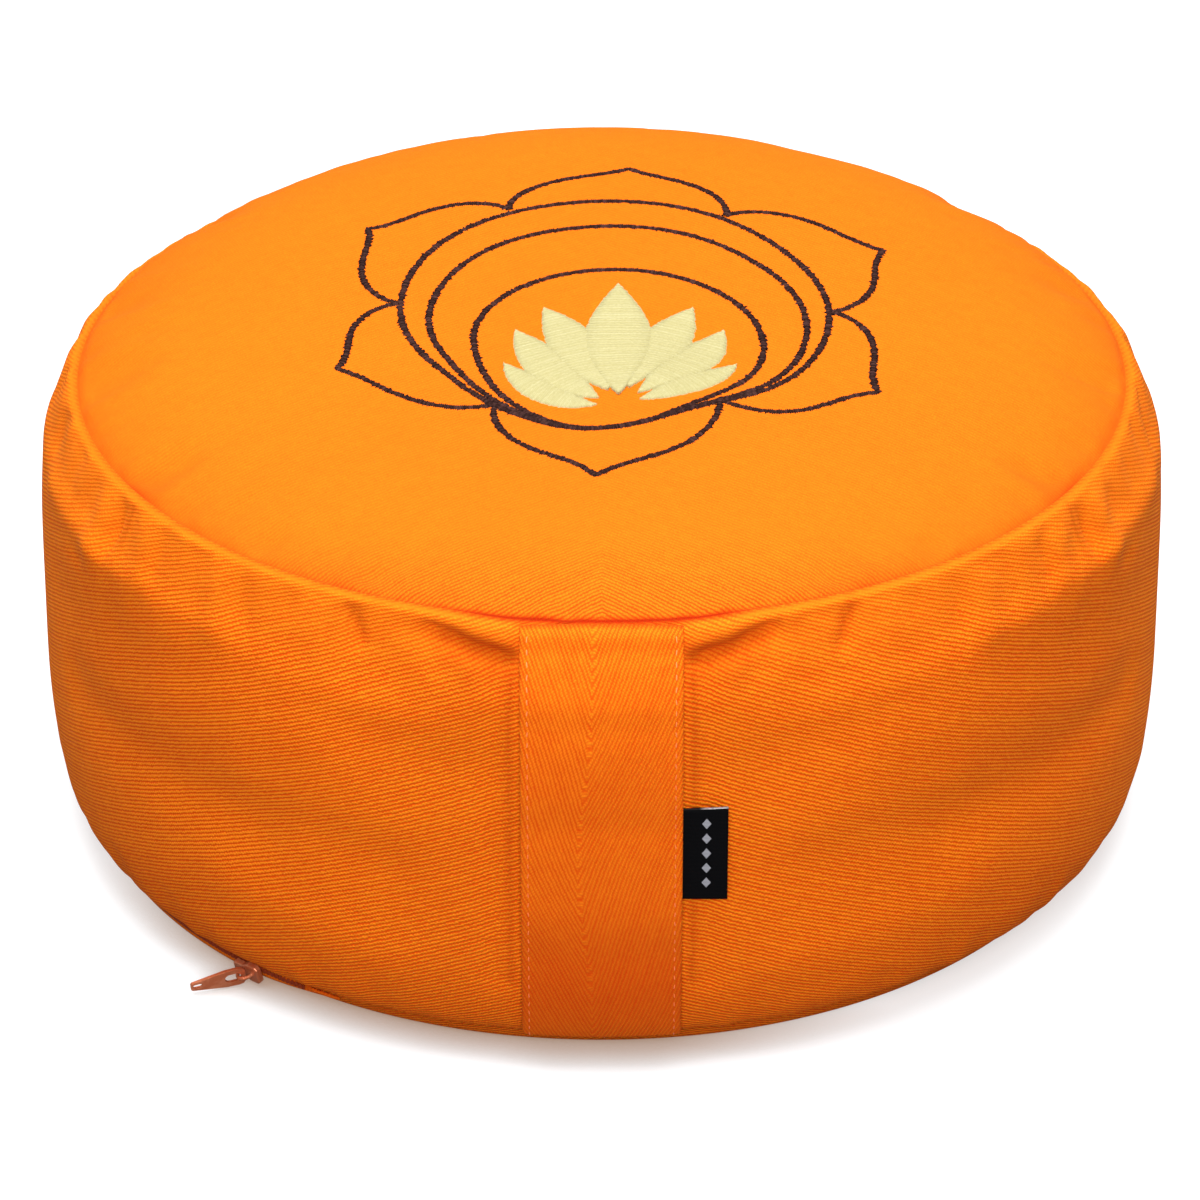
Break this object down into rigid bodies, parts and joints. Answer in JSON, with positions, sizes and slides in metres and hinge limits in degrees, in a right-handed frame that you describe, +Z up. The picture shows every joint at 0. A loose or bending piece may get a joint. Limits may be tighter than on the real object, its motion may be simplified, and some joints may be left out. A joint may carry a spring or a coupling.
{
  "type": "round meditation cushion",
  "caption": "Round filled floor cushion with a crowned top, bulging side wall, sewn seams, front carry strap, bare side label and a base-seam zip.",
  "frame": {"origin": "centre of the flat on which the cushion rests", "axes": "+Z up out of the resting flat, -Y towards the carry strap, +X to the right of a viewer who faces the strap"},
  "size_m": [0.329, 0.3314, 0.1636],
  "materials": {
    "cushion_cloth": "orange cotton twill, matt",
    "strap_cloth": "orange herringbone twill tape, matt",
    "label_cloth": "black woven tape, satin",
    "zip_teeth": "red-brown nylon teeth",
    "zip_metal": "copper-coloured lacquer, worn at the edges"
  },
  "bodies": {
    "root": {"cushion": "cushion_cloth", "carry_strap": "strap_cloth", "side_label": "label_cloth", "zip_chain": "zip_teeth", "zip_slider": "zip_metal", "zip_pull": "zip_metal"}
  },
  "joints": []
}
